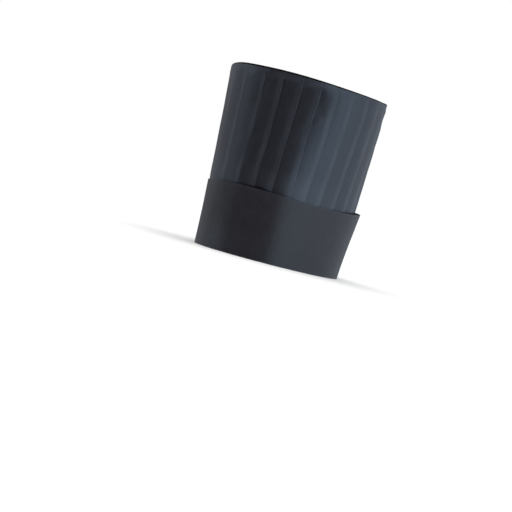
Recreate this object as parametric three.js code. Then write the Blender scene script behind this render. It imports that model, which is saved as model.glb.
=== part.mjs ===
// A disposable chef hat: a tall crown of black pleated non-woven cloth, closed by a flat top of the
// same cloth, and a smooth headband turned up round its foot.
// Millimetres, +Z up. The hat stands on the headband's lower edge at z = 0, and its front faces -Y.
import * as THREE from "three";

// Driving dimensions
const HAT_HEIGHT = 230;
const BAND_HEIGHT = 84.5;
const CLOTH = 1.2; // the crown's wall
const BAND_CARD = 1.0; // the headband's wall
const TOP_CLOTH = 1.0; // the flat top's wall
const SEAM_GAP = 0.3; // between pieces that touch on the real hat

// The crown is an oval cone, longer from front to back. It bends a little forward towards its rim.
const FOOT = { halfWidth: 86.0, halfLength: 102.9 };
const RIM = { halfWidth: 95.8, halfLength: 114.3 };
const FLARE_CURVE = 1.15; // above 1 the crown opens more towards its rim
const FORWARD_BEND = 6;

// Knife pleats, pressed flat and all folded the same way. The folds are spaced along the crown's girth,
// drift a little from even spacing in waves round the hat, and turn a little from the foot to the rim.
const PLEAT_COUNT = 26;
const PLEAT_DEPTH = 1.0;
const INSIDE_RELIEF = 0.4; // share of the depth that shows inside the crown
const FIRST_FOLD = -0.12; // pitches from the centre front
const DRIFT = { waves: 3, pitches: 0.17 };
const TWIST = 4.4; // degrees from the foot to the rim

// One pleat's section, from the fold before it to its own: a row is one bend of the cloth. Across is a
// share of the pitch, and rise a share of the pleat's depth.
const PLEAT_SECTION = [
  { across: 0.04, rise: 0.0 },
  { across: 0.4, rise: 0.45 },
  { across: 0.76, rise: 0.92 },
  { across: 0.92, rise: 1.0 },
  { across: 1.0, rise: 0.72 },
];

// Heights on the crown, and the share of the pleats' depth that is left there: the last centimetre is
// pressed flat, where the top is glued in.
const CROWN_LEVELS = [
  { height: BAND_CARD + SEAM_GAP, pleats: 1.0 },
  { height: 46, pleats: 1.0 },
  { height: 92, pleats: 1.0 },
  { height: 138, pleats: 1.0 },
  { height: 184, pleats: 1.0 },
  { height: 216, pleats: 0.95 },
  { height: 223, pleats: 0.45 },
  { height: HAT_HEIGHT, pleats: 0.3 },
];

// The flat top is a panel with its edge turned down and glued inside the crown.
const TOP_DROP = 1.2; // below the crown's rim
const TOP_FLANGE = 10;
const TOP_SAG = 2;
const TOP_SIDES = 72;
const TOP_RINGS = [0.25, 0.5, 0.75, 0.92]; // shares of the way from its middle to its edge

// The headband is one strip, folded under the crown's foot. It is tight round the forehead and stands
// off behind the ears, and its outer end laps over the other one at the back.
const BAND_SIDES = 96;
const BAND_LEVELS = [0.35, 14, 28, 42, 56, 70, BAND_HEIGHT - 0.35];
const BAND_TURN_IN = 14; // height of the strip's edge inside the crown
const BAND_EDGE = 0.3; // rounding of its edges
const STAND_OFF = { most: 4.8, from: 55, to: 125, curve: 1.5 }; // angles in degrees from the front
const LAP = { step: 0.8, from: 148, edge: 188 }; // angles in degrees from the front

// The headband's upper edge rises and falls in waves: crests round the hat, and where one of them lies.
const BAND_WAVES = [
  { crests: 1, height: 1.0, at: 170 },
  { crests: 3, height: 1.5, at: 11 },
];

const RADIANS = Math.PI / 180;
const TURN = 2 * Math.PI;

// The crown's smooth oval at a height, before the pleats.
function ovalAt(height) {
  const share = height / HAT_HEIGHT;
  const flare = share ** FLARE_CURVE;
  return {
    halfWidth: THREE.MathUtils.lerp(FOOT.halfWidth, RIM.halfWidth, flare),
    halfLength: THREE.MathUtils.lerp(FOOT.halfLength, RIM.halfLength, flare),
    centreY: -FORWARD_BEND * share ** 2,
  };
}

// A point of the oval, which a turn from the centre front towards +X finds, moved out along the normal.
function onOval(oval, turn, outwards, height) {
  const nx = Math.sin(turn) / oval.halfWidth;
  const ny = -Math.cos(turn) / oval.halfLength;
  const length = Math.hypot(nx, ny);
  return new THREE.Vector3(
    oval.halfWidth * Math.sin(turn) + (outwards * nx) / length,
    oval.centreY - oval.halfLength * Math.cos(turn) + (outwards * ny) / length,
    height,
  );
}

// The turn at a share of the crown's girth, measured along the cloth from the centre front.
const waist = ovalAt(HAT_HEIGHT / 2);
const girth = new THREE.EllipseCurve(0, 0, waist.halfWidth, waist.halfLength, -TURN / 4, (3 * TURN) / 4);
girth.arcLengthDivisions = 720;

function turnAt(share) {
  const whole = Math.floor(share);
  return TURN * (whole + girth.getUtoTmapping(share - whole));
}

function evenTurns(count) {
  return Array.from({ length: count }, (_, i) => turnAt(i / count));
}

// A closed skin through loops of points. A ring joins its last loop to its first; any other skin is
// closed at both ends by a point in the middle of the loop.
function skin(loops, isRing) {
  const around = loops[0].length;
  const points = loops.flat();
  const faces = [];
  const pairs = isRing ? loops.length : loops.length - 1;
  for (let row = 0; row < pairs; row++) {
    const low = row * around;
    const high = ((row + 1) % loops.length) * around;
    for (let i = 0; i < around; i++) {
      const next = (i + 1) % around;
      faces.push(low + i, low + next, high + next);
      faces.push(low + i, high + next, high + i);
    }
  }
  if (!isRing) {
    const middleOf = (loop) =>
      loop.reduce((sum, point) => sum.add(point), new THREE.Vector3()).divideScalar(around);
    const first = points.push(middleOf(loops[0])) - 1;
    const last = points.push(middleOf(loops.at(-1))) - 1;
    const start = (loops.length - 1) * around;
    for (let i = 0; i < around; i++) {
      const next = (i + 1) % around;
      faces.push(first, next, i);
      faces.push(last, start + i, start + next);
    }
  }
  const geometry = new THREE.BufferGeometry().setFromPoints(points);
  geometry.setIndex(faces);
  geometry.computeVertexNormals();
  return geometry;
}

// Where a fold lies on the crown's girth, as a share of it.
function foldAt(pleat) {
  const drift = DRIFT.pitches * Math.cos((DRIFT.waves * pleat * TURN) / PLEAT_COUNT);
  return (FIRST_FOLD + pleat + drift) / PLEAT_COUNT;
}

// The pleated wall: each level has an outer loop, and an inner loop one cloth thickness inside it.
function crownWall() {
  const bends = [];
  for (let pleat = 0; pleat < PLEAT_COUNT; pleat++) {
    for (const { across, rise } of PLEAT_SECTION) {
      bends.push({ share: THREE.MathUtils.lerp(foldAt(pleat), foldAt(pleat + 1), across), rise });
    }
  }
  const loop = ({ height, pleats }, base, relief) => {
    const twist = TWIST * RADIANS * (height / HAT_HEIGHT - 0.5);
    const depth = PLEAT_DEPTH * pleats * relief;
    return bends.map(({ share, rise }) =>
      onOval(ovalAt(height), turnAt(share) + twist, base + rise * depth, height),
    );
  };
  const outside = CROWN_LEVELS.map((level) => loop(level, 0, 1));
  const inside = CROWN_LEVELS.map((level) => loop(level, -CLOTH, INSIDE_RELIEF));
  return skin([...outside, ...inside.reverse()], true);
}

// The panel sags a little in the middle. Its turned-down edge follows the crown's inner face.
function crownTop() {
  const turns = evenTurns(TOP_SIDES);
  const top = HAT_HEIGHT - TOP_DROP;
  const flangeFoot = top - TOP_FLANGE;
  const reach = -CLOTH - SEAM_GAP;
  const panel = (share, under) => {
    const oval = ovalAt(top);
    oval.halfWidth = (oval.halfWidth + reach - TOP_CLOTH) * share;
    oval.halfLength = (oval.halfLength + reach - TOP_CLOTH) * share;
    const height = top - TOP_SAG * (1 - share ** 2) - under;
    return turns.map((turn) => onOval(oval, turn, 0, height));
  };
  const edge = (height, outwards) =>
    turns.map((turn) => onOval(ovalAt(height), turn, outwards, height));
  return skin(
    [
      ...TOP_RINGS.map((share) => panel(share, TOP_CLOTH)),
      edge(top - TOP_CLOTH, reach - TOP_CLOTH),
      edge(flangeFoot, reach - TOP_CLOTH),
      edge(flangeFoot, reach),
      edge(top - TOP_CLOTH / 2, reach),
      edge(top, reach - TOP_CLOTH / 2),
      ...TOP_RINGS.map((share) => panel(share, 0)).reverse(),
    ],
    false,
  );
}

// How far the headband stands off the crown: nothing at its foot, and most at its upper edge.
function standOff(turn, height) {
  const fromFront = Math.min(turn, TURN - turn) / RADIANS;
  const around = THREE.MathUtils.smoothstep(fromFront, STAND_OFF.from, STAND_OFF.to);
  return STAND_OFF.most * around * (height / BAND_HEIGHT) ** STAND_OFF.curve;
}

// The strip's outer end lies on its other end: it rises smoothly towards its cut edge and stops there.
function lapAt(turn) {
  const way = (turn / RADIANS - LAP.from) / (LAP.edge - LAP.from);
  return way < 0 || way > 1 ? 0 : LAP.step * Math.sqrt(way);
}

function waved(turn, height) {
  const wave = ({ crests, height: size, at }) => size * Math.cos(crests * (turn - at * RADIANS));
  const rise = BAND_WAVES.reduce((sum, row) => sum + wave(row), 0);
  return height + rise * (height / BAND_HEIGHT) ** 2;
}

function headband() {
  const cutEdge = LAP.edge * RADIANS;
  const turns = [...evenTurns(BAND_SIDES), cutEdge - 0.001, cutEdge + 0.004].sort((a, b) => a - b);
  const innerFace = PLEAT_DEPTH + SEAM_GAP;
  const turnedIn = -CLOTH - SEAM_GAP;
  const loop = (height, offset) =>
    turns.map((turn) => onOval(ovalAt(height), turn, offset(turn), waved(turn, height)));
  const outer = (height, inset = 0) =>
    loop(height, (turn) => innerFace + BAND_CARD + lapAt(turn) + standOff(turn, height) - inset);
  const inner = (height, inset = 0) =>
    loop(height, (turn) => innerFace + standOff(turn, height) + inset);
  const inside = (height, offset) => loop(height, () => offset);
  return skin(
    [
      outer(0, BAND_EDGE),
      ...BAND_LEVELS.map((height) => outer(height)),
      outer(BAND_HEIGHT, BAND_EDGE),
      inner(BAND_HEIGHT, BAND_EDGE),
      ...BAND_LEVELS.slice(1).map((height) => inner(height)).reverse(),
      inner(BAND_CARD),
      inside(BAND_CARD, turnedIn),
      inside(BAND_TURN_IN, turnedIn),
      inside(BAND_TURN_IN, turnedIn - BAND_CARD),
      inside(BAND_EDGE, turnedIn - BAND_CARD),
      inside(0, turnedIn - BAND_CARD + BAND_EDGE),
    ],
    true,
  );
}

const pleatedCloth = new THREE.MeshStandardMaterial({ color: 0x30343b, roughness: 0.6, metalness: 0 });
const bandCard = new THREE.MeshStandardMaterial({ color: 0x2d3036, roughness: 0.7, metalness: 0 });
const flatCloth = new THREE.MeshStandardMaterial({ color: 0x2b2e34, roughness: 0.75, metalness: 0 });

function piece(name, geometry, material) {
  const mesh = new THREE.Mesh(geometry, material);
  mesh.name = name;
  return mesh;
}

const pieces = new THREE.Group();
pieces.add(
  piece("crown_wall", crownWall(), pleatedCloth),
  piece("crown_top", crownTop(), flatCloth),
  piece("headband", headband(), bandCard),
);

// The origin is the middle of the hat's outer box, on the surface that it stands on.
const middle = new THREE.Box3().setFromObject(pieces, true).getCenter(new THREE.Vector3());
pieces.position.set(-middle.x, -middle.y, 0);

const hat = new THREE.Group();
hat.add(pieces);
export default hat;
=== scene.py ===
import math

import bpy
import numpy as np
from mathutils import Matrix, Vector


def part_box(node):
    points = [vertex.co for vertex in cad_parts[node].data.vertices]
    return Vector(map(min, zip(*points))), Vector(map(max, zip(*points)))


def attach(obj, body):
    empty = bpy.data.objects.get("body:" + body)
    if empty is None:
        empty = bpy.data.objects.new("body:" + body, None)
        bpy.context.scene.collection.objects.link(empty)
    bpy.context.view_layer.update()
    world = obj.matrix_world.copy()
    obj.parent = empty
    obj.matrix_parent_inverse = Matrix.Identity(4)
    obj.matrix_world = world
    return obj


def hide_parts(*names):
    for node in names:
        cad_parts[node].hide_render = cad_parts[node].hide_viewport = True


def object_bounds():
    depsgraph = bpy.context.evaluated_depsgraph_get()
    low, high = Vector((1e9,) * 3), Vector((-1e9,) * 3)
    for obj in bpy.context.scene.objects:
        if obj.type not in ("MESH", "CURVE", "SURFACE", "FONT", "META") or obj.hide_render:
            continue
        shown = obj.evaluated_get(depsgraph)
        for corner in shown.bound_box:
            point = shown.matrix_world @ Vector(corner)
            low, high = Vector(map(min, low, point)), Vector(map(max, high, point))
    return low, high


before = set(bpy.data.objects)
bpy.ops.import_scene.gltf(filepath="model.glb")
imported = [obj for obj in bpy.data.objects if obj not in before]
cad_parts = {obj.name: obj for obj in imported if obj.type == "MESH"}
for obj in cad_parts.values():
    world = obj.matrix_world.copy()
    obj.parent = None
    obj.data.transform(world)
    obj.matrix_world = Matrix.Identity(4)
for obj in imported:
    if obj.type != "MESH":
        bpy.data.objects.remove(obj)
cad_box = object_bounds()


# Crown. One strip of thin black viscose non-woven, folded into twenty-six knife pleats that all lie the
# same way, bent round into an oval tube and closed inside a fold at the back. Round the rim its last
# centimetre is pressed flat on the top's turned-down edge, and a thin strip along its top edge is painted
# near-black as painted shade.
MM = 0.001
TURN = 2 * math.pi
HAT_HEIGHT = cad_box[1].z
CLOTH = 0.28 * MM

# The oval tube opens and bends forward towards the rim. The used cloth swells out or draws in where it
# hangs slack, and the rim rises and falls, flares a little at the back left and is rounded at the front
# right. Left is the hat's own left, at +X, turns start at the centre front and go that way round, and
# shares are shares of the hat's height.
FOOT_HALF_WIDTH, FOOT_HALF_LENGTH = 86.0 * MM, 102.9 * MM
RIM_HALF_WIDTH, RIM_HALF_LENGTH = 95.8 * MM, 114.3 * MM
FOOT_CENTRE_Y = 3.48 * MM
FORWARD_BEND = 6.0 * MM
FLARE_CURVE = 1.15
SWELLS = (
    # at, width, outwards at the foot, outwards at the rim
    (math.radians(74), math.radians(25), 0.0 * MM, 6.0 * MM),
    (math.radians(1), math.radians(11), 0.0 * MM, -1.4 * MM),
    (math.radians(126), math.radians(24), 1.1 * MM, -0.8 * MM),
)
SWELLS_FROM, SWELLS_FULL = 0.38, 0.92
RIM_WAVES = (
    # at, width, lift
    (math.radians(72), math.radians(30), -1.7 * MM),
    (math.radians(121), math.radians(16), 1.5 * MM),
)
RIM_WAVES_FROM = 0.7
RIM_FLARE, RIM_FLARE_AT, RIM_FLARE_WIDTH = 1.0 * MM, math.radians(127), math.radians(16)
RIM_FLARE_FROM, RIM_FLARE_FULL = 0.950, 0.972
ROUNDED_FROM, ROUNDED_IN, ROUNDED_AT, ROUNDED_WIDTH = 5.0 * MM, 4.6 * MM, -0.95, 0.55
ROUNDED_TO = 0.999


def oval_at(height):
    """The crown's half width, half length and centre at a height: it opens and bends forward."""
    share = np.clip(height / HAT_HEIGHT, 0, 1)
    flare = share ** FLARE_CURVE
    half_width = FOOT_HALF_WIDTH + (RIM_HALF_WIDTH - FOOT_HALF_WIDTH) * flare
    half_length = FOOT_HALF_LENGTH + (RIM_HALF_LENGTH - FOOT_HALF_LENGTH) * flare
    return half_width, half_length, FOOT_CENTRE_Y - FORWARD_BEND * share ** 2


def smooth_step(low, high, value):
    """0 at low and before it, 1 at high and past it, with a smooth way between."""
    share = np.clip((value - low) / (high - low), 0, 1)
    return share * share * (3 - 2 * share)


def bump(turn, at, width):
    """1 at a turn, and less the further from it, either way round."""
    return np.exp(-((((turn - at + math.pi) % TURN - math.pi) / width) ** 2))


def on_oval(turn, height, outwards):
    """Points at a turn from the centre front towards the left, moved out from the oval."""
    half_width, half_length, centre_y = oval_at(height)
    share = height / HAT_HEIGHT
    upper = smooth_step(SWELLS_FROM, SWELLS_FULL, share)
    for at, width, low, high in SWELLS:
        outwards = outwards + (low + (high - low) * upper) * bump(turn, at, width)
    flared = smooth_step(RIM_FLARE_FROM, RIM_FLARE_FULL, share)
    outwards = outwards + RIM_FLARE * flared * bump(turn, RIM_FLARE_AT, RIM_FLARE_WIDTH)
    wave = sum(lift * bump(turn, *where) for *where, lift in RIM_WAVES)
    height = height + wave * smooth_step(RIM_WAVES_FROM, 1.0, share)
    across, along = np.sin(turn) / half_width, -np.cos(turn) / half_length
    steep = np.hypot(across, along)
    x = half_width * np.sin(turn) + outwards * across / steep
    y = centre_y - half_length * np.cos(turn) + outwards * along / steep
    return np.stack(np.broadcast_arrays(x, y, height), axis=-1)


def rounded_rim(turn, height):
    """How far the rim has sunk in. It is rounded at the front right and sharp elsewhere."""
    away = (turn - ROUNDED_AT + math.pi) % TURN - math.pi
    share = np.clip(1 - (HAT_HEIGHT - height) / ROUNDED_FROM, 0, 1)
    return ROUNDED_IN * (1 - np.sqrt(1 - share ** 2 * ROUNDED_TO)) * np.exp(-((away / ROUNDED_WIDTH) ** 4))


def walk_along(points):
    """How far each point lies from the first along a row of points."""
    return np.concatenate([[0.0], np.cumsum(np.linalg.norm(np.diff(points, axis=0), axis=1))])


WAVES_SUMMED, WAVE_SUM_HEIGHT = 7, 3.2
SLOWEST_WAVE, FASTEST_WAVE = 0.6, 1.8


def soft_waves(seed, *ways):
    """Smooth waves without a pattern, mostly between -1 and 1, along one or more ways in radians."""
    chance = np.random.default_rng(seed)
    total = 0.0
    for _ in range(WAVES_SUMMED):
        phase = chance.uniform(0, TURN)
        for way in ways:
            phase = phase + way * chance.choice([-1.0, 1.0]) * chance.uniform(SLOWEST_WAVE, FASTEST_WAVE)
        total = total + np.sin(phase)
    return total / WAVE_SUM_HEIGHT


def round_about(turn, fineness):
    """Two ways for soft_waves that meet where the turn comes round."""
    return np.sin(turn) * fineness, np.cos(turn) * fineness


def cloth_waves(parts, turn, share):
    """Soft waves all over a cloth, from parts of a seed, a size, and a fineness round it and up it."""
    return sum(
        size * soft_waves(seed, *round_about(turn, around), share * upwards)
        for seed, size, around, upwards in parts
    )


# The pleats lean with a twist. They are not quite evenly spaced, some folds have moved at the foot or at
# the rim, and at the left they have slid forward in the upper half. They lie closed at the foot and
# stand open at the rim, more in some places than in others.
PLEATS = 26
FIRST_FOLD = -0.12
DRIFT_WAVES, DRIFT = 3, 0.17
TWIST = math.radians(4.4)
FOLD_SHIFTS = (
    # fold, at the foot, at the rim
    (0, 0.0 * MM, 2.6 * MM),
    (1, 0.4 * MM, 1.8 * MM),
    (2, 0.4 * MM, 2.4 * MM),
    (3, 3.0 * MM, 3.0 * MM),
    (4, 2.0 * MM, 2.0 * MM),
    (5, 0.0 * MM, 0.0 * MM),
    (25, 0.0 * MM, 0.0 * MM),
)
SHIFTS_FROM, SHIFTS_FULL = 0.40, 0.85
SLID, SLID_AT, SLID_WIDTH = 0.05, math.radians(86), math.radians(17)
SLID_FROM, SLID_FULL = 0.45, 0.85
FOLD_WANDER = (
    # seed, size, fineness from fold to fold, fineness up the fold
    (3, 0.55 * MM, 4, 9),
    (4, 0.20 * MM, 5, 30),
)
FOLD_FULLNESS = (
    # seed, share, fineness from fold to fold, fineness up the fold
    (5, 0.26, 3, 8),
    (6, 0.24, 5, 28),
)
LEAST_FULL, MOST_FULL = 0.7, 1.1
OPENED_FROM, OPENED_TO, CLOSED, OPENED = 0.42, 1.0, 0.42, 1.62
WAVES_APART = 2.4

# The cloth's way through one pleat, in millimetres. Fold tells where a point is measured from, the fold
# before the panel that shows at 0, the one at its end at 1 or a place between them, and beside how far
# from there. Loose is the cloth's rise from the oval where the pleat is free, and pressed its rise where
# the pleat is pressed flat. The places from SHOWS_FROM to SHOWS_TO are on the panel that shows.
PLEAT_WAY = (
    # fold, beside, loose, pressed
    (0, -5.40, 0.28, 0.28),
    (0, -5.68, 0.14, 0.14),
    (0, -5.40, 0.00, 0.00),
    (0, -3.00, 0.00, 0.00),
    (0, -0.25, 0.00, 0.28),
    (0, 0.08, 0.02, 0.53),
    (0, 0.60, 0.06, 0.56),
    (0, 1.60, 0.14, 0.57),
    (0.19, 0.00, 0.40, 0.57),
    (0.35, 0.00, 0.69, 0.56),
    (0.51, 0.00, 0.93, 0.56),
    (0.64, 0.00, 1.08, 0.56),
    (1, -6.80, 1.18, 0.56),
    (1, -5.60, 1.22, 0.56),
    (1, -4.60, 1.26, 0.57),
    (1, -3.50, 1.30, 0.57),
    (1, -2.50, 1.34, 0.57),
    (1, -1.60, 1.37, 0.57),
    (1, -0.45, 1.40, 0.57),
    (1, -0.22, 1.38, 0.56),
    (1, -0.05, 1.22, 0.52),
    (1, -0.02, 0.80, 0.44),
    (1, -0.15, 0.45, 0.36),
    (1, -0.55, 0.30, 0.30),
    (1, -4.60, 0.30, 0.30),
)
SHOWS_FROM, SHOWS_TO = 5, 21
WAIST_STEPS = 3600

waist_turns = np.linspace(0, TURN, WAIST_STEPS + 1)
waist = walk_along(on_oval(waist_turns, HAT_HEIGHT / 2, 0.0))
GIRTH = waist[-1]


def turn_at(length):
    """The turn at a length along the girth from the centre front, which may pass the back."""
    rounds = np.floor(length / GIRTH)
    return np.interp(length - rounds * GIRTH, waist, waist_turns) + rounds * TURN


def fold_length(fold):
    """How far round the girth a fold lies. The folds are not quite evenly spaced."""
    drift = DRIFT * np.cos(DRIFT_WAVES * fold * TURN / PLEATS)
    return (FIRST_FOLD + fold + drift) / PLEATS * GIRTH


# The cloth is pressed flat at the front right, in one spot at the front left, and in a band round the
# rim, which is narrower at the left. The glue makes a low ridge along that band. A pinch runs at the
# headband's edge, deepest just left of the centre front, and shallow hollows lie all over.
RIM_PRESSED, PRESS_FADE = 10.5 * MM, 4.0 * MM
PRESS_WANDER, PRESS_FINENESS, PRESS_SEED = 2.0 * MM, 9, 8
GLUED_LESS, GLUED_LESS_AT, GLUED_LESS_WIDTH = 0.75, math.radians(88), math.radians(32)
GLUE_RIDGE, GLUE_BELOW, GLUE_WIDTH = 0.30 * MM, 1.0 * MM, 1.5 * MM
RIGHT_PRESS, RIGHT_PRESS_AT, RIGHT_PRESS_WIDTH = 1.6, math.radians(-58), math.radians(62)
FLAT_SPOT = 0.80
FLAT_SPOT_AT, FLAT_SPOT_WIDTH = math.radians(41), math.radians(7)
FLAT_SPOT_HEIGHT, FLAT_SPOT_REACH = 170.0 * MM, 12.0 * MM
PINCH_HEIGHT, PINCH_DEPTH, PINCH_REACH = 84.3 * MM, 2.3 * MM, 3.4 * MM
PINCH_AT, PINCH_WIDTH, PINCH_ELSEWHERE = math.radians(17), math.radians(6), 0.1
HOLLOWS = (
    # seed, depth, fineness round the tube, fineness up it
    (12, 0.35 * MM, 3, 4),
    (14, 0.07 * MM, 16, 18),
)
HOLLOWS_SPREAD = 0.7
# The height of the thin strip at the top of the rim that is painted near-black as painted shade.
SHADED_RIM_STRIP = 1.9 * MM
HIDDEN_ROWS, PINCH_ROWS, FREE_ROWS, RIM_ROWS, SHADED_RIM_ROWS = 10, 13, 28, 15, 5

crown_low, crown_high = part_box("crown_wall")
foot, rim = crown_low.z, crown_high.z
pinch_from, pinch_to = PINCH_HEIGHT - PINCH_REACH, PINCH_HEIGHT + 2 * PINCH_REACH
free_to = rim - RIM_PRESSED - 2 * PRESS_FADE
crown_rows = np.concatenate([
    np.linspace(foot, pinch_from, HIDDEN_ROWS, endpoint=False),
    np.linspace(pinch_from, pinch_to, PINCH_ROWS, endpoint=False),
    np.linspace(pinch_to, free_to, FREE_ROWS, endpoint=False),
    np.linspace(free_to, rim - SHADED_RIM_STRIP, RIM_ROWS, endpoint=False),
    np.linspace(rim - SHADED_RIM_STRIP, rim, SHADED_RIM_ROWS + 1),
])[:, None]
up = crown_rows / HAT_HEIGHT

fold_column, beside, loose, pressed = np.tile(np.array(PLEAT_WAY).T, PLEATS)
fold_column = fold_column + np.repeat(np.arange(PLEATS), len(PLEAT_WAY))
lengths = fold_length(fold_column) + beside * MM
next_fold = np.where(beside > 0, np.floor(fold_column) + 1, np.ceil(fold_column))
to_fold = fold_length(next_fold) - lengths
places_on_way = np.arange(len(PLEAT_WAY))
on_top = np.tile((places_on_way >= SHOWS_FROM) & (places_on_way <= SHOWS_TO), PLEATS)
fold_column, to_fold, loose, pressed, on_top = (
    np.append(column, column[0]) for column in (fold_column, to_fold, loose, pressed, on_top)
)
lengths = np.append(lengths, lengths[0] + GIRTH)
fold_phase = np.round(fold_column) % PLEATS * WAVES_APART


def fold_waves(parts):
    """Soft waves that differ from fold to fold, from parts of a seed, a size, and two finenesses."""
    return sum(
        size * soft_waves(seed, fold_phase * over, up * upwards)
        for seed, size, over, upwards in parts
    )


def patch(at, width, height, reach):
    """1 at one place on the tube, and less the further round it, above it or below it."""
    return bump(turns, at, width) * np.exp(-(((crown_rows - height) / reach) ** 2))


shifted_folds, foot_shifts, rim_shifts = zip(*FOLD_SHIFTS)
foot_shift = np.interp(fold_column, shifted_folds, foot_shifts, period=PLEATS)
rim_shift = np.interp(fold_column, shifted_folds, rim_shifts, period=PLEATS)
shift = foot_shift + (rim_shift - foot_shift) * smooth_step(SHIFTS_FROM, SHIFTS_FULL, up)
turns = turn_at(lengths + shift + fold_waves(FOLD_WANDER)) + TWIST * (up - 0.5)
turns = turns - SLID * bump(turns, SLID_AT, SLID_WIDTH) * smooth_step(SLID_FROM, SLID_FULL, up)

opened = CLOSED + (OPENED - CLOSED) * smooth_step(OPENED_FROM, OPENED_TO, up)
fullness = np.clip(1 + fold_waves(FOLD_FULLNESS), LEAST_FULL, MOST_FULL) * opened
loose_rise = np.where(on_top, loose * fullness, loose)
glued_less = bump(turns, GLUED_LESS_AT, GLUED_LESS_WIDTH)
press_wander = PRESS_WANDER * soft_waves(PRESS_SEED, *round_about(turns, PRESS_FINENESS))
press_edge = rim - RIM_PRESSED * (1 - GLUED_LESS * glued_less) + press_wander
rim_press = smooth_step(-1, 1, (crown_rows - press_edge) / (PRESS_FADE * (1 + glued_less)))
right_press = np.clip(RIGHT_PRESS * bump(turns, RIGHT_PRESS_AT, RIGHT_PRESS_WIDTH), 0, 1)
flat_spot = FLAT_SPOT * patch(FLAT_SPOT_AT, FLAT_SPOT_WIDTH, FLAT_SPOT_HEIGHT, FLAT_SPOT_REACH)
press = np.maximum(np.maximum(rim_press, right_press), flat_spot)
pinch = PINCH_ELSEWHERE + (1 - PINCH_ELSEWHERE) * bump(turns, PINCH_AT, PINCH_WIDTH)
pinch = PINCH_DEPTH * pinch * np.exp(-(((crown_rows - PINCH_HEIGHT) / PINCH_REACH) ** 2))
glue_ridge = GLUE_RIDGE * np.exp(-(((crown_rows - press_edge + GLUE_BELOW) / GLUE_WIDTH) ** 2))
hollows = cloth_waves(HOLLOWS, turns, up) * np.sin(math.pi * np.clip(up, 0, 1)) ** HOLLOWS_SPREAD
rise = (loose_rise * (1 - press) + pressed * press) * MM + hollows + glue_ridge - pinch
crown_places = on_oval(turns, crown_rows, rise - rounded_rim(turns, crown_rows))
strip = np.linalg.norm(np.diff(crown_places, axis=1), axis=2).mean(axis=0)
strip = np.concatenate([[0.0], np.cumsum(strip)])
crown_cut = np.stack(np.broadcast_arrays(strip, crown_rows), axis=-1)

# The cloth is painted paler just before each fold, a painted highlight, and lighter low down above the
# headband, painted light. It is paler in patches at the rim, and painted patches make single places
# lighter, or less pale as painted shade where the last value is below 0. The value is 0 on plain cloth
# and 1 where the paler colour shows in full.
FOLD_HIGHLIGHT, FOLD_HIGHLIGHT_BEFORE, FOLD_HIGHLIGHT_WIDTH = 0.88, 3.1 * MM, 3.5 * MM
HIGHLIGHT_EVENLY, LEAST_HIGHLIGHT, MOST_HIGHLIGHT = 0.85, 0.2, 1.4
HIGHLIGHT_PATCHES = (
    # seed, share, fineness from fold to fold, fineness up the fold
    (15, 0.3, 4, 16),
)
# The painted highlight is stronger or weaker round the tube, by a share that changes from foot to rim.
HIGHLIGHT_MORE = (
    # at, width, at the foot, at the rim
    (math.radians(45), math.radians(22), 0.20, -0.55),
    (math.radians(93), math.radians(20), 2.40, 0.0),
)
LOW_LIGHT_PAINTED, LOW_LIGHT_FULLY, LOW_LIGHT_UP_TO, LOW_LIGHT_FROM_FOLD = 0.45, 98.0 * MM, 122.0 * MM, 27.0 * MM
PAINTED_LIGHT_PATCHES = (
    # at, width, height, reach, lighter, or less pale below 0
    (math.radians(-14), math.radians(14), 225.0 * MM, 9.0 * MM, 0.70),
    (math.radians(-40), math.radians(12), 228.0 * MM, 40.0 * MM, 1.20),
    (math.radians(-42), math.radians(8), 110.0 * MM, 40.0 * MM, 0.50),
    (math.radians(-28), math.radians(6), 96.0 * MM, 22.0 * MM, 0.50),
    (math.radians(-6), math.radians(6), 98.0 * MM, 22.0 * MM, -0.60),
    (math.radians(45), math.radians(5), 96.0 * MM, 20.0 * MM, 0.65),
    (math.radians(58), math.radians(5), 208.0 * MM, 20.0 * MM, -0.70),
    (math.radians(45), math.radians(3), 206.0 * MM, 20.0 * MM, -0.60),
    (math.radians(-1), math.radians(4), 210.0 * MM, 18.0 * MM, -0.80),
    (math.radians(-20), math.radians(4), 208.0 * MM, 18.0 * MM, -0.80),
)
RIM_PALER = 0.45
RIM_PALER_PATCHES = (
    # seed, share, fineness round the tube, fineness up it
    (16, 0.30, 12, 60),
)

# Painted highlight: each panel is painted paler just before its fold, where the fold's crest catches the
# light.
fold_painted_light = np.where(on_top, FOLD_HIGHLIGHT * np.exp(-(((to_fold - FOLD_HIGHLIGHT_BEFORE) / FOLD_HIGHLIGHT_WIDTH) ** 2)), 0.0)
fold_painted_light = fold_painted_light * np.clip(HIGHLIGHT_EVENLY + fold_waves(HIGHLIGHT_PATCHES), LEAST_HIGHLIGHT, MOST_HIGHLIGHT)
highlight_more = sum((low + (high - low) * up) * bump(turns, at, width) for at, width, low, high in HIGHLIGHT_MORE)
fold_painted_light = fold_painted_light * (1 + highlight_more) * (1 - flat_spot)
# Painted light: the panels are painted lighter low down above the headband, most near each fold.
low_painted_light = smooth_step(LOW_LIGHT_UP_TO, LOW_LIGHT_FULLY, crown_rows) * smooth_step(LOW_LIGHT_FROM_FOLD, 0.0, to_fold)
fold_painted_light = fold_painted_light + np.where(on_top, LOW_LIGHT_PAINTED * low_painted_light, 0.0)
# Painted highlight and painted shade: single patches painted lighter, or less pale where their value is below
# 0.
painted_light_patches = sum(more * patch(*where) for *where, more in PAINTED_LIGHT_PATCHES)
# Paler in patches round the pressed band at the rim.
rim_paler = np.clip(RIM_PALER + cloth_waves(RIM_PALER_PATCHES, turns, up), 0.0, 1.0) * (1 - glued_less)
crown_painted_light_and_paler = np.maximum(fold_painted_light * (1 - rim_press) + rim_paler * rim_press + painted_light_patches, 0.0)

JOINED_WITHIN = 0.01 * MM
SMOOTH_UP_TO = math.radians(60)


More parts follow.
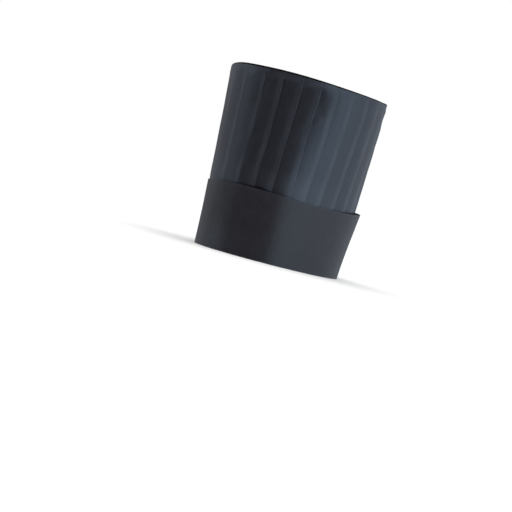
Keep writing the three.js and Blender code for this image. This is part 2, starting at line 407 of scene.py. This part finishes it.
def cloth_sheet(name, places, cut, wear_and_painted_light, thickness, joined=False):
    """A grid of cloth, from a place, a flat position and a share of wear and painted light for each of its
    rows and columns.
    """
    rows, columns = places.shape[:2]
    bpy.ops.object.select_all(action="DESELECT")
    bpy.ops.mesh.primitive_grid_add(x_subdivisions=columns - 1, y_subdivisions=rows - 1, size=1)
    sheet = bpy.context.object
    sheet.name = name
    mesh = sheet.data
    mesh.vertices.foreach_set("co", places.reshape(-1).astype(np.float32))
    corners = np.empty(len(mesh.loops), np.int32)
    mesh.loops.foreach_get("vertex_index", corners)
    flat = cut.reshape(-1, 2)[corners]
    mesh.uv_layers.active.data.foreach_set("uv", flat.reshape(-1).astype(np.float32))
    worn_and_lit = mesh.attributes.new("wear_and_painted_light", "FLOAT", "POINT")
    worn_and_lit.data.foreach_set("value", np.broadcast_to(wear_and_painted_light, (rows, columns)).reshape(-1).astype(np.float32))
    mesh.update()
    if joined:
        bpy.ops.object.mode_set(mode="EDIT")
        bpy.ops.mesh.select_all(action="SELECT")
        bpy.ops.mesh.remove_doubles(threshold=JOINED_WITHIN)
        bpy.ops.object.mode_set(mode="OBJECT")
    wall = sheet.modifiers.new("wall", "SOLIDIFY")
    wall.thickness = thickness
    wall.offset = 0
    bpy.ops.object.modifier_apply(modifier=wall.name)
    bpy.ops.object.shade_smooth_by_angle(angle=SMOOTH_UP_TO)
    return sheet


crown = cloth_sheet("crown_cloth", crown_places, crown_cut, crown_painted_light_and_paler, CLOTH, joined=True)


class Wire:
    """One socket of a material's nodes, so that sums on it can be written in Python."""

    def __init__(self, tree, socket=None):
        self.tree = tree
        self.socket = socket

    def node(self, kind, settings=None, sockets=None, out=0):
        """Adds a node with its settings and the values or wires of its sockets, and gives its output."""
        made = self.tree.nodes.new(kind)
        for name, value in (settings or {}).items():
            setattr(made, name, value)
        for name, value in (sockets or {}).items():
            if isinstance(value, Wire):
                self.tree.links.new(value.socket, made.inputs[name])
            else:
                made.inputs[name].default_value = value
        return Wire(self.tree, made.outputs[out])

    def into(self, node, name):
        """Leads this wire into a socket of a node."""
        self.tree.links.new(self.socket, node.inputs[name])

    def maths(self, operation, *terms):
        """A Math node of the operation on numbers or wires."""
        return self.node("ShaderNodeMath", {"operation": operation}, dict(enumerate(terms)))

    def __add__(self, other):
        return self.maths("ADD", self, other)

    def __radd__(self, other):
        return self.maths("ADD", other, self)

    def __sub__(self, other):
        return self.maths("SUBTRACT", self, other)

    def __rsub__(self, other):
        return self.maths("SUBTRACT", other, self)

    def __mul__(self, other):
        return self.maths("MULTIPLY", self, other)

    def __rmul__(self, other):
        return self.maths("MULTIPLY", other, self)

    def between(self, low, high):
        """0 below low and 1 above high, with a smooth way between."""
        settings = {"interpolation_type": "SMOOTHSTEP"}
        return self.node("ShaderNodeMapRange", settings, {0: self, 1: low, 2: high})

    def blend(self, first, second):
        """A colour that goes from the first to the second as this wire goes from 0 to 1."""
        first, second = ((*end, 1) if isinstance(end, tuple) else end for end in (first, second))
        return self.node("ShaderNodeMix", {"data_type": "RGBA"}, {0: self, 6: first, 7: second}, out=2)


# How much the web's clouds, its fibres and the rows of the jets show in the cloth's tone, its roughness
# and its relief. Noise lies round its middle.
NOISE_MIDDLE = 0.5
CLOUD_TONE, FIBRE_TONE, MEAN_TONE, FULL_TONE = 0.45, 0.9, 0.45, 1.2
CLOUD_ROUGHNESS, FIBRE_ROUGHNESS, PALER_SMOOTHER = 0.12, 0.14, 0.04
CLOUD_RELIEF, FIBRE_RELIEF, JET_RELIEF = 0.4, 0.8, 0.10
RELIEF_STRENGTH, RELIEF_DEPTH = 0.5, 0.15 * MM
PALER_BETWEEN_FIBRES, PALER_MORE_ON_FIBRES = 0.75, 0.5


def nonwoven(name, dark, light, worn_and_lit, roughness, gloss, gloss_tint):
    """Dyed non-woven: a cloudy web of fibres that mostly run along the roll, with rows from water jets."""
    material = bpy.data.materials.new(name)
    material.use_nodes = True
    tree = material.node_tree
    shader = tree.nodes["Principled BSDF"]
    wire = Wire(tree)
    flat = wire.node("ShaderNodeUVMap", {"uv_map": "UVMap"})

    def web(per_metre, stretch, degrees, detail):
        """Noise of so many specks to the metre, drawn out into strands at an angle to the roll."""
        sockets = {
            "Vector": flat,
            "Rotation": (0, 0, math.radians(degrees)),
            "Scale": (per_metre, per_metre * stretch, per_metre),
        }
        turned = wire.node("ShaderNodeMapping", {}, sockets)
        return wire.node("ShaderNodeTexNoise", {}, {"Vector": turned, "Scale": 1.0, "Detail": detail})

    clouds = web(per_metre=90, stretch=0.6, degrees=8, detail=3.0)
    lean_one_way = web(per_metre=2600, stretch=0.07, degrees=14, detail=2.0)
    lean_other_way = web(per_metre=2300, stretch=0.08, degrees=-21, detail=2.0)
    fibres = lean_one_way * 0.5 + lean_other_way * 0.5
    jets = wire.node(
        "ShaderNodeTexWave",
        {"wave_type": "BANDS", "bands_direction": "X"},
        {"Vector": flat, "Scale": 180.0, "Distortion": 1.2, "Detail": 1.0, "Detail Scale": 0.4},
    )
    # The paler colour follows the mesh attribute read here: real wear on the headband and the top, and on the
    # crown a painted highlight before each fold, painted light and painted shade in patches, and paler
    # patches at the rim.
    wear_and_painted_light = wire.node("ShaderNodeAttribute", {"attribute_name": "wear_and_painted_light"}, out=2)
    tone = (clouds - NOISE_MIDDLE) * CLOUD_TONE + (fibres - NOISE_MIDDLE) * FIBRE_TONE + MEAN_TONE
    fresh = tone.between(0.0, FULL_TONE).blend(dark, light)
    paler_share = wear_and_painted_light * (PALER_BETWEEN_FIBRES + fibres * PALER_MORE_ON_FIBRES)
    paler_share.blend(fresh, worn_and_lit).into(shader, "Base Color")
    rough = (fibres - NOISE_MIDDLE) * FIBRE_ROUGHNESS + (clouds - NOISE_MIDDLE) * CLOUD_ROUGHNESS
    (rough - wear_and_painted_light * PALER_SMOOTHER + roughness).into(shader, "Roughness")
    height = fibres * FIBRE_RELIEF + jets * JET_RELIEF + clouds * CLOUD_RELIEF
    relief = {"Strength": RELIEF_STRENGTH, "Distance": RELIEF_DEPTH, "Height": height}
    wire.node("ShaderNodeBump", {}, relief).into(shader, "Normal")
    shader.inputs["Specular IOR Level"].default_value = gloss
    shader.inputs["Specular Tint"].default_value = (*gloss_tint, 1)
    return material


CROWN_DARK, CROWN_LIGHT = (0.018, 0.0155, 0.019), (0.038, 0.034, 0.042)
# The paler colour, both for real wear and for the painted highlight and painted light on the crown.
WORN_AND_LIT_CLOTH = (0.044, 0.044, 0.056)
CROWN_ROUGHNESS, CROWN_GLOSS, CROWN_TINT = 0.34, 0.83, (0.52, 0.75, 1.0)
# Painted shade: the rim's top edge gets a near-black, barely glossy strip that stands in for the shade there,
# narrower at the hat's left.
RIM_SHADE_DARK, RIM_SHADE_LIGHT = (0.003, 0.003, 0.004), (0.006, 0.006, 0.007)
RIM_SHADE_ROUGHNESS, RIM_SHADE_GLOSS, RIM_SHADE_TINT = 0.6, 0.08, (1, 1, 1)
RIM_SHADE_LESS, RIM_SHADE_LESS_AT, RIM_SHADE_LESS_WIDTH = 0.5, math.radians(100), math.radians(48)
RIM_SHADE_MARGIN = 0.2 * MM

crown.data.materials.clear()
crown.data.materials.append(nonwoven(
    "satin_black_cloth", CROWN_DARK, CROWN_LIGHT, WORN_AND_LIT_CLOTH, CROWN_ROUGHNESS, CROWN_GLOSS, CROWN_TINT
))
crown.data.materials.append(nonwoven(
    "painted_shade_rim_edge", RIM_SHADE_DARK, RIM_SHADE_LIGHT, RIM_SHADE_LIGHT, RIM_SHADE_ROUGHNESS, RIM_SHADE_GLOSS, RIM_SHADE_TINT
))
# Faces in that thin strip at the top of the rim take the painted-shade material.
flat_places = crown.data.uv_layers.active.uv
for face in crown.data.polygons:
    highest = max(flat_places[corner].vector.y for corner in face.loop_indices)
    face_turn = math.atan2(face.center.x, -face.center.y)
    shaded_strip = SHADED_RIM_STRIP * (1 - RIM_SHADE_LESS * bump(face_turn, RIM_SHADE_LESS_AT, RIM_SHADE_LESS_WIDTH))
    face.material_index = 1 if highest > rim - shaded_strip + RIM_SHADE_MARGIN else 0
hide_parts("crown_wall")
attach(crown, "root")


# Headband. One strip of heavier, smooth black non-woven, folded up outside from the crown's foot, with
# its lower edge turned in under the crown and glued. Its upper edge is cut and free, tight in front and
# loose from the sides to the back, where its outer end laps over the inner one.
BAND_CLOTH = 0.7 * MM
BAND_HEIGHT = 84.5 * MM
TURNED_IN = 13.8 * MM
BAND_OUTSIDE, BAND_INSIDE = 1.95 * MM, -2.0 * MM
FOOT_RADIUS = 1.1 * MM
STAND_OFF, STAND_FROM, STAND_TO, STAND_CURVE = 4.8 * MM, math.radians(68), math.radians(125), 1.5
BACK_RISE, BACK_FROM, BACK_TO = 2.6 * MM, math.radians(114), math.radians(150)
LAP_RISE, LAP_FROM, LAP_INNER, LAP_OUTER = 0.78 * MM, *np.radians([96, 148, 188])
EDGE_WAVES = (
    # crests, height, turn of a crest
    (1, 1.0 * MM, math.radians(170)),
    (3, 1.5 * MM, math.radians(11)),
)
PACK_CREASE, CREASE_RIDGE, CREASE_WIDTH = math.radians(62), 0.45 * MM, math.radians(5)

# The strip swells out a little on either side of the centre front, and ripples towards its free edge.
BAND_SWELLS = (
    # at, width, outwards at the foot, outwards at the free edge
    (math.radians(24), math.radians(18), 1.4 * MM, 1.4 * MM),
    (math.radians(-16), math.radians(9), -0.3 * MM, 2.0 * MM),
    (math.radians(38), math.radians(12), 0.0 * MM, 0.8 * MM),
)
BAND_RIPPLES = (
    # seed, size, fineness round the strip, fineness up it
    (21, 0.35 * MM, 4, 2.2),
    (22, 0.10 * MM, 13, 5),
)

# It is worn paler along its cut edge and its fold, and paler low down at the front right.
EDGE_WORN, EDGE_WORN_DOWN_TO, FOLD_WORN_REACH = 0.4, 1.2 * MM, 1.5 * MM
LOW_PALER, LOW_PALER_AT, LOW_PALER_WIDTH = 0.95, math.radians(-30), math.radians(45)
LOW_PALER_FULLY, LOW_PALER_UP_TO = 8.0 * MM, 45.0 * MM
BAND_DARK, BAND_LIGHT = (0.0220, 0.0187, 0.0240), (0.0450, 0.0402, 0.0505)
BAND_ROUGHNESS, BAND_GLOSS, BAND_TINT = 0.32, 0.45, (0.62, 0.87, 1.0)
BAND_COLUMNS, BAND_ROWS, TURNED_ROWS, FOOT_STEPS = 420, 32, 6, 6

band_turns = np.linspace(LAP_INNER - TURN, LAP_OUTER, BAND_COLUMNS)
from_front = np.abs((band_turns + math.pi) % TURN - math.pi)
stand = STAND_OFF * smooth_step(STAND_FROM, STAND_TO, from_front)
edge_rise = sum(size * np.cos(crests * (band_turns - at)) for crests, size, at in EDGE_WAVES)
edge_rise = edge_rise + BACK_RISE * smooth_step(BACK_FROM, BACK_TO, from_front)
lap = LAP_RISE * smooth_step(LAP_FROM, LAP_INNER, band_turns)
off_crease = np.abs((band_turns - PACK_CREASE + math.pi / 2) % math.pi - math.pi / 2)
crease = CREASE_RIDGE * np.exp(-off_crease / CREASE_WIDTH)
straight_from = BAND_CLOTH / 2 + FOOT_RADIUS


def band_outside(share):
    """How far out the strip stands all round, at a share of the way from its foot to its free edge."""
    swell = sum(
        (low + (high - low) * share) * bump(band_turns, at, width)
        for at, width, low, high in BAND_SWELLS
    )
    return BAND_OUTSIDE + swell


band_places, band_down = [], []
for share in np.linspace(1, 0, BAND_ROWS):
    height = straight_from + (BAND_HEIGHT - straight_from) * share + edge_rise * share ** 2
    ripple = cloth_waves(BAND_RIPPLES, band_turns, share)
    outwards = band_outside(share) + stand * share ** STAND_CURVE + lap + (ripple + crease) * share
    band_places.append(on_oval(band_turns, height, outwards))
    band_down.append((1 - share) * (BAND_HEIGHT - straight_from))
quarter = np.linspace(0, math.pi / 2, FOOT_STEPS + 1)[1:]
for angle in quarter:
    height = straight_from - FOOT_RADIUS * math.sin(angle)
    outwards = band_outside(0) - FOOT_RADIUS * (1 - math.cos(angle)) + lap
    band_places.append(on_oval(band_turns, height, outwards))
    band_down.append(band_down[-1] + FOOT_RADIUS * quarter[0])
for angle in quarter:
    height = straight_from - FOOT_RADIUS * math.cos(angle)
    outwards = BAND_INSIDE + FOOT_RADIUS * (1 - math.sin(angle)) - lap
    band_places.append(on_oval(band_turns, height, outwards))
    band_down.append(band_down[-1] + FOOT_RADIUS * quarter[0])
for height in np.linspace(straight_from, TURNED_IN, TURNED_ROWS)[1:]:
    band_places.append(on_oval(band_turns, height, BAND_INSIDE - lap))
    band_down.append(band_down[-1] + (TURNED_IN - straight_from) / (TURNED_ROWS - 1))
band_places = np.array(band_places)[::-1]
band_down = np.array(band_down)[::-1, None]
band_along = walk_along(band_places[-1])
band_cut = np.stack(np.broadcast_arrays(band_along, -band_down), axis=-1)

edge_wear = np.exp(-band_down / EDGE_WORN_DOWN_TO)
edge_wear = edge_wear + np.exp(-(((band_down - BAND_HEIGHT) / FOLD_WORN_REACH) ** 2))
low_down = smooth_step(LOW_PALER_UP_TO, LOW_PALER_FULLY, BAND_HEIGHT - band_down)
band_worn_and_paler = edge_wear * EDGE_WORN + LOW_PALER * bump(band_turns, LOW_PALER_AT, LOW_PALER_WIDTH) * low_down
band = cloth_sheet("headband_strip", band_places, band_cut, band_worn_and_paler, BAND_CLOTH)

band.data.materials.clear()
band.data.materials.append(nonwoven(
    "matt_black_cloth", BAND_DARK, BAND_LIGHT, WORN_AND_LIT_CLOTH, BAND_ROUGHNESS, BAND_GLOSS, BAND_TINT
))
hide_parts("headband")
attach(band, "root")


# Top. An oval of the crown's cloth that closes the hat. Its edge is turned down inside the rim and glued
# there in small puckers, it sags under its own weight, and it keeps a crease from side to side, where
# the hat lay folded flat in its pack.
TOP_SET_IN = 0.65 * MM
TOP_BELOW_RIM = 1.2 * MM
TOP_FLANGE = 9.5 * MM
TOP_BEND = 1.0 * MM
TOP_SAG = 2.4 * MM
TOP_CREASE, TOP_CREASE_WIDTH = 1.05 * MM, 4.0 * MM
PUCKERS, PUCKER, PUCKER_DRIFT, PUCKER_DRIFTS = 58, 0.28 * MM, 2, 5
GATHERS, GATHER, GATHER_DRIFT, GATHER_DRIFTS = 29, 1.2 * MM, 3, 4
TOP_RIPPLE, TOP_RIPPLE_SIZE, TOP_RIPPLE_SEED = 0.8 * MM, 24.0 * MM, 31
TOP_WORN, TOP_WORN_REACH = 0.7, 0.012
TOP_ROUGHNESS, TOP_GLOSS, TOP_TINT = 0.40, 0.6, (0.6, 0.8, 1.0)
TOP_COLUMNS, FLANGE_RINGS, TOP_RINGS = 290, 7, 46
BEND_STEPS = np.radians([25, 50, 75])

top_height = HAT_HEIGHT - TOP_BELOW_RIM
top_turns = np.linspace(0, TURN, TOP_COLUMNS + 1)
top_width, top_length, top_centre_y = oval_at(top_height)
puckering = 1 + np.sin(top_turns * PUCKERS + PUCKER_DRIFT * np.sin(top_turns * PUCKER_DRIFTS))
gathering = np.sin(top_turns * GATHERS + GATHER_DRIFT * np.sin(top_turns * GATHER_DRIFTS))
top_places, top_out = [], []
for height in np.linspace(top_height - TOP_FLANGE, top_height - TOP_BEND, FLANGE_RINGS):
    slack = (top_height - height) / TOP_FLANGE
    set_in = TOP_SET_IN + PUCKER * slack * puckering + rounded_rim(top_turns, height)
    top_places.append(on_oval(top_turns, height, -set_in))
    top_out.append(1 + (top_height - height) / top_width)
for angle in BEND_STEPS:
    height = top_height - TOP_BEND * (1 - math.sin(angle))
    set_in = TOP_SET_IN + TOP_BEND * (1 - math.cos(angle)) + rounded_rim(top_turns, height)
    top_places.append(on_oval(top_turns, height, -set_in))
    top_out.append(1 + TOP_BEND * (1 - math.sin(angle)) / top_width)
edge = on_oval(top_turns, top_height, -TOP_SET_IN - TOP_BEND - rounded_rim(top_turns, top_height))
rim_lift = edge[:, 2] - top_height
crease_across = np.array([math.cos(PACK_CREASE), math.sin(PACK_CREASE)])
for share in np.linspace(1.0, 0.0, TOP_RINGS):
    x = edge[:, 0] * share
    y = top_centre_y + (edge[:, 1] - top_centre_y) * share
    from_crease = np.abs(x * crease_across[0] + (y - top_centre_y) * crease_across[1])
    inner = 1 - share ** 6
    ridge = TOP_CREASE * np.exp(-from_crease / TOP_CREASE_WIDTH) * inner
    ripple = TOP_RIPPLE * soft_waves(TOP_RIPPLE_SEED, x / TOP_RIPPLE_SIZE, y / TOP_RIPPLE_SIZE) * inner
    gathers = GATHER * gathering * share ** 6 * inner
    height = top_height + rim_lift * share ** 4 - TOP_SAG * (1 - share ** 2) + ridge + ripple + gathers
    top_places.append(np.stack([x, y, height], axis=-1))
    top_out.append(share)
top_places = np.array(top_places)
top_out = np.array(top_out)[:, None]
cut_x, cut_y = top_width * top_out * np.sin(top_turns), top_length * top_out * np.cos(top_turns)
top_cut = np.stack([cut_x, cut_y], axis=-1)
top_wear = TOP_WORN * np.exp(-(((top_out - 1) / TOP_WORN_REACH) ** 2))
top = cloth_sheet("top_cloth", top_places, top_cut, top_wear, CLOTH, joined=True)

top.data.materials.clear()
top.data.materials.append(nonwoven(
    "plain_black_cloth", CROWN_DARK, CROWN_LIGHT, WORN_AND_LIT_CLOTH, TOP_ROUGHNESS, TOP_GLOSS, TOP_TINT
))
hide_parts("crown_top")
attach(top, "root")
cut_width, cut_length = 2 * (top_width + TOP_FLANGE), 2 * (top_length + TOP_FLANGE)
math.pi / 4 * cut_width * cut_length


# Floor. A plain pale studio floor, wide enough to run out of every view.
FLOOR_RADIUS, FLOOR_SIDES = 9, 96
FLOOR_COLOUR, FLOOR_ROUGHNESS, FLOOR_GLOSS = (0.9, 0.9, 0.9, 1), 0.9, 0.1

bpy.ops.object.select_all(action="DESELECT")
bpy.ops.mesh.primitive_circle_add(vertices=FLOOR_SIDES, radius=FLOOR_RADIUS, fill_type="NGON")
floor = bpy.context.object
floor.name = "studio_floor"
pale = bpy.data.materials.new("pale_floor")
pale.use_nodes = True
pale_shader = pale.node_tree.nodes["Principled BSDF"]
pale_shader.inputs["Base Color"].default_value = FLOOR_COLOUR
pale_shader.inputs["Roughness"].default_value = FLOOR_ROUGHNESS
pale_shader.inputs["Specular IOR Level"].default_value = FLOOR_GLOSS
floor.data.materials.append(pale)
floor.visible_glossy = False


# Camera. It stands before the hat, towards the hat's left and about 7 cm above the floor. It is rolled,
# because the hat leans to the right in the photograph.
FRAME_PIXELS, FOCAL_PIXELS = 512, 1425
HAT_AT_PIXEL = (288.77, 173.58)
SENSOR_WIDTH = 36.0
CAMERA_DISTANCE = 1.824
camera_turn, camera_rise, camera_roll = np.radians([32.1, -1.475, -14.98])
hat_centre = Vector((0, FOOT_CENTRE_Y, HAT_HEIGHT / 2))

back = Vector((
    math.sin(camera_turn) * math.cos(camera_rise),
    -math.cos(camera_turn) * math.cos(camera_rise),
    math.sin(camera_rise),
))
level = Vector((math.cos(camera_turn), math.sin(camera_turn), 0))
above = back.cross(level)
rolled_right = math.cos(camera_roll) * level - math.sin(camera_roll) * above
rolled_up = math.sin(camera_roll) * level + math.cos(camera_roll) * above
towards_hat = Vector((
    (HAT_AT_PIXEL[0] - FRAME_PIXELS / 2) / FOCAL_PIXELS,
    (FRAME_PIXELS / 2 - HAT_AT_PIXEL[1]) / FOCAL_PIXELS,
    -1,
))
aim_off = Vector((0, 0, -1)).rotation_difference(towards_hat).to_matrix()
world_to_camera = aim_off @ Matrix((rolled_right, rolled_up, back))
camera_data = bpy.data.cameras.new("camera")
camera_data.sensor_width = SENSOR_WIDTH
camera_data.lens = SENSOR_WIDTH * FOCAL_PIXELS / FRAME_PIXELS
camera = bpy.data.objects.new("camera", camera_data)
bpy.context.scene.collection.objects.link(camera)
camera_place = Matrix.Translation(hat_centre + back * CAMERA_DISTANCE)
camera.matrix_world = camera_place @ world_to_camera.transposed().to_4x4()
bpy.context.scene.camera = camera


# Light. A wide soft wall of light on the hat's left and a dimmer, warmer one on its right, with a dark
# gap between them in front of the hat, and a dim ceiling. The walls get dimmer and bluer the further
# round they are. The camera sees plain white behind it all, and a lamp lights the floor alone.
LEFT_WALL, RIGHT_WALL, GAP_LIGHT, CEILING_LIGHT, SEEN_LIGHT = 1.3, 0.8, 0.028, 0.5, 1.0
GAP_FROM, GAP_TO, SOFT_EDGE = -74, 28, 8
FADES = (
    # from, to, lost
    (40, 130, 0.56),
    (125, 178, 0.48),
)
CEILING_FROM, CEILING_FULL = 0.5, 0.75
BLUER_FROM, BLUER_TO = 60, 150
LEFT_TINT, RIGHT_TINT = (1.0, 1.0, 1.0), (1.0, 0.975, 0.91)
LEFT_BLUER, RIGHT_BLUER = (0.80, 0.89, 1.0), (0.88, 0.89, 0.96)
LAMP_STRENGTH, LAMP_SPREAD = 2.6, math.radians(75)

room = bpy.data.worlds.new("white_room")
bpy.context.scene.world = room
room.use_nodes = True
tree = room.node_tree
wire = Wire(tree)
way_out = wire.node("ShaderNodeTexCoord")
split = tree.nodes.new("ShaderNodeSeparateXYZ")
way_out.into(split, 0)
east, north, high = (Wire(tree, output) for output in split.outputs)
ahead = east * math.sin(camera_turn) - north * math.cos(camera_turn)
aside = east * math.cos(camera_turn) + north * math.sin(camera_turn)
bearing = wire.maths("ARCTAN2", aside, ahead) * (180 / math.pi)
left_wall = bearing.between(GAP_TO - SOFT_EDGE, GAP_TO + SOFT_EDGE)
right_wall = 1 - bearing.between(GAP_FROM - SOFT_EDGE, GAP_FROM + SOFT_EDGE)
off_ahead = wire.maths("ABSOLUTE", bearing)
faded = 1
for fade_from, fade_to, lost in FADES:
    faded = (1 - off_ahead.between(fade_from, fade_to) * lost) * faded
walls = GAP_LIGHT + (left_wall * LEFT_WALL + right_wall * RIGHT_WALL) * faded
ceiling = high.between(CEILING_FROM, CEILING_FULL)
seen = wire.node("ShaderNodeLightPath")
strength = (walls * (1 - ceiling) + ceiling * CEILING_LIGHT) * (1 - seen) + seen * SEEN_LIGHT
strength.into(tree.nodes["Background"], "Strength")
bluer = off_ahead.between(BLUER_FROM, BLUER_TO) * (1 - ceiling) * (1 - seen)
on_right = right_wall * (1 - seen)
near_tint = on_right.blend(LEFT_TINT, RIGHT_TINT)
side_tint = on_right.blend(LEFT_BLUER, RIGHT_BLUER)
bluer.blend(near_tint, side_tint).into(tree.nodes["Background"], "Color")

overhead_data = bpy.data.lights.new("overhead", "SUN")
overhead_data.energy = LAMP_STRENGTH
overhead_data.angle = LAMP_SPREAD
overhead = bpy.data.objects.new("overhead", overhead_data)
bpy.context.scene.collection.objects.link(overhead)
floor_alone = bpy.data.collections.new("floor_alone")
floor_alone.objects.link(floor)
overhead.light_linking.receiver_collection = floor_alone
bpy.context.scene.view_settings.view_transform = "Standard"
